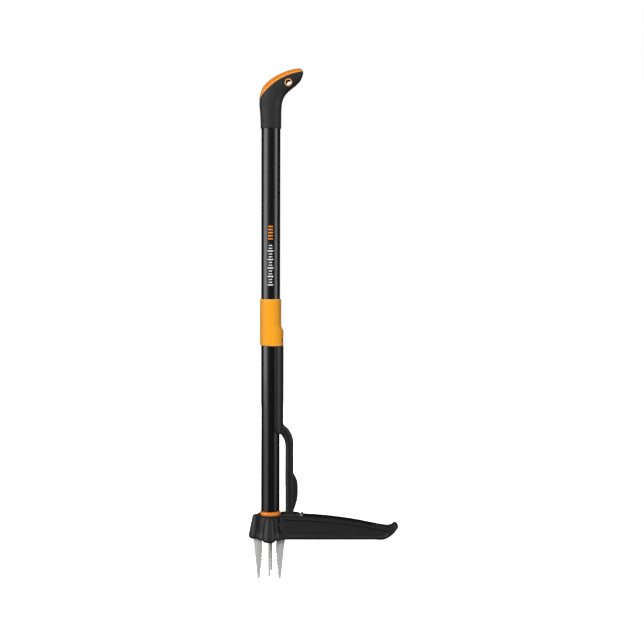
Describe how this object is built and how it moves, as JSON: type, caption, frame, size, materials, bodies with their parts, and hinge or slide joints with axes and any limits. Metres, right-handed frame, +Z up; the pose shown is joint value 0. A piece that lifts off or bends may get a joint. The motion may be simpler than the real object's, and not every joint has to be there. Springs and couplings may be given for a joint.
{
  "type": "stand up weeder",
  "caption": "Long-shafted stand-up weeder: hook grip, sliding ejector sleeve with a bent arm, foot pedal head and serrated steel claws that close as the shaft tilts.",
  "frame": {"origin": "on the shaft's axis, in the plane of the head's underside, where the tool stands on the lawn with its claws in the ground", "axes": "+Z up the shaft towards the grip, +X from the shaft towards the pedal's tip, +Y to the back of the tool"},
  "size_m": [0.3055, 0.0746, 1.0339],
  "materials": {
    "moulded_black": "fine-textured glass-filled nylon",
    "grip_black": "satin soft-touch moulding",
    "tread_black": "matt, cross-grooved",
    "tube_black": "satin black coating with soft highlights",
    "trim_orange": "satin moulded plastic",
    "sleeve_amber": "satin moulded plastic",
    "stainless": "fine brushed",
    "zinc": "bright zinc plate",
    "acetal": "natural moulded"
  },
  "bodies": {
    "head": {"pedal_housing": "moulded_black", "tread_pad": "tread_black", "base_plate": "moulded_black", "base_screw_1": "zinc", "base_screw_2": "zinc", "base_screw_3": "zinc", "base_screw_4": "zinc", "tilt_hinge_pin": "zinc", "guide_pin": "zinc", "claw_pin_left": "zinc", "claw_pin_right": "zinc", "claw_pin_front": "zinc", "claw_pin_back": "zinc"},
    "shaft": {"shaft_tube": "tube_black", "shaft_foot": "moulded_black", "shaft_collar": "trim_orange", "foot_rivet": "zinc", "handle_core": "moulded_black", "handle_grip": "grip_black", "handle_cap": "trim_orange", "hanging_eyelet": "trim_orange", "grip_screw": "zinc"},
    "ejector": {"eject_sleeve": "sleeve_amber", "glide_bush_lower": "acetal", "glide_bush_upper": "acetal", "ejector_arm": "moulded_black", "arm_screw": "zinc", "ejector_fork": "moulded_black", "fork_pin": "zinc"},
    "right_claw": {"claw_right": "stainless"},
    "left_claw": {"claw_left": "stainless"},
    "front_claw": {"claw_front": "stainless"},
    "back_claw": {"claw_back": "stainless"},
    "lifter": {"lift_spider": "acetal", "lift_pin": "zinc"}
  },
  "joints": [
    {"name": "shaft_tilt", "type": "hinge", "parent": "head", "child": "shaft", "pos_m": [0.019, 0, 0.0264], "axis": [0, 1, 0], "range_deg": [0, 5]},
    {"name": "sleeve_slide", "type": "slide", "parent": "shaft", "child": "ejector", "axis": [0, 0, -1], "range_m": [0, 0.08]},
    {"name": "right_claw_pivot", "type": "hinge", "parent": "head", "child": "right_claw", "pos_m": [0.0228, 0, 0.012], "axis": [0, 1, 0], "range_deg": [0, 10]},
    {"name": "left_claw_pivot", "type": "hinge", "parent": "head", "child": "left_claw", "pos_m": [-0.0228, 0, 0.012], "axis": [0, -1, 0], "range_deg": [0, 10]},
    {"name": "front_claw_pivot", "type": "hinge", "parent": "head", "child": "front_claw", "pos_m": [0, -0.0228, 0.012], "axis": [1, 0, 0], "range_deg": [0, 10]},
    {"name": "back_claw_pivot", "type": "hinge", "parent": "head", "child": "back_claw", "pos_m": [0, 0.0228, 0.012], "axis": [-1, 0, 0], "range_deg": [0, 10]},
    {"name": "lifter_slide", "type": "slide", "parent": "head", "child": "lifter", "axis": [0, 0, 1], "range_m": [0, 0.00166]}
  ],
  "couplings": [
    {"joint": "right_claw_pivot", "follows": "shaft_tilt", "ratio": 2},
    {"joint": "left_claw_pivot", "follows": "shaft_tilt", "ratio": 2},
    {"joint": "front_claw_pivot", "follows": "shaft_tilt", "ratio": 2},
    {"joint": "back_claw_pivot", "follows": "shaft_tilt", "ratio": 2},
    {"joint": "lifter_slide", "follows": "shaft_tilt", "m_per_rad": 0.019}
  ]
}
